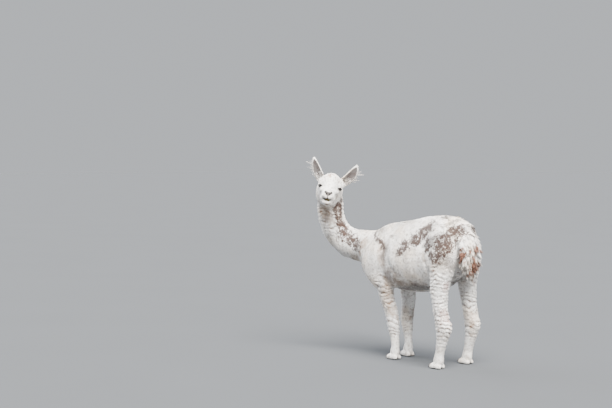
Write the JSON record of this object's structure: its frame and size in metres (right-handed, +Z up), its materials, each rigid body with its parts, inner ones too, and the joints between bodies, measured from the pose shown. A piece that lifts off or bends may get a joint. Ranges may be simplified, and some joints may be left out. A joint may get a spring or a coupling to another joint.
{
  "type": "alpaca, still life-size model",
  "caption": "Life-size still model of a newly shorn white alpaca with grey-brown marks, standing with its head turned back over its left shoulder.",
  "frame": {"origin": "on the floor, under the middle of the bounding box", "axes": "+Z up; the trunk lies along Y and the animal walks towards -Y; +X is its left side, to which the head is turned"},
  "size_m": [0.4376, 1.1945, 1.1761],
  "materials": {
    "fleece": "short shorn cream-white fleece with mottled grey-brown patches",
    "eye": "wet, near black",
    "tooth": "yellowed enamel",
    "nail": "dull dark horn"
  },
  "bodies": {
    "root": {"trunk": "fleece", "neck": "fleece", "head": "fleece", "lower_jaw": "fleece", "incisors": "tooth", "ear_left": "fleece", "ear_right": "fleece", "eye_left": "eye", "eye_right": "eye", "tail": "fleece", "foreleg_left_upper": "fleece", "foreleg_left_cannon": "fleece", "foreleg_left_foot": "fleece", "foreleg_left_nail_1": "nail", "foreleg_left_nail_2": "nail", "foreleg_right_upper": "fleece", "foreleg_right_cannon": "fleece", "foreleg_right_foot": "fleece", "foreleg_right_nail_1": "nail", "foreleg_right_nail_2": "nail", "hindleg_left_upper": "fleece", "hindleg_left_cannon": "fleece", "hindleg_left_foot": "fleece", "hindleg_left_nail_1": "nail", "hindleg_left_nail_2": "nail", "hindleg_right_upper": "fleece", "hindleg_right_cannon": "fleece", "hindleg_right_foot": "fleece", "hindleg_right_nail_1": "nail", "hindleg_right_nail_2": "nail"}
  },
  "joints": []
}
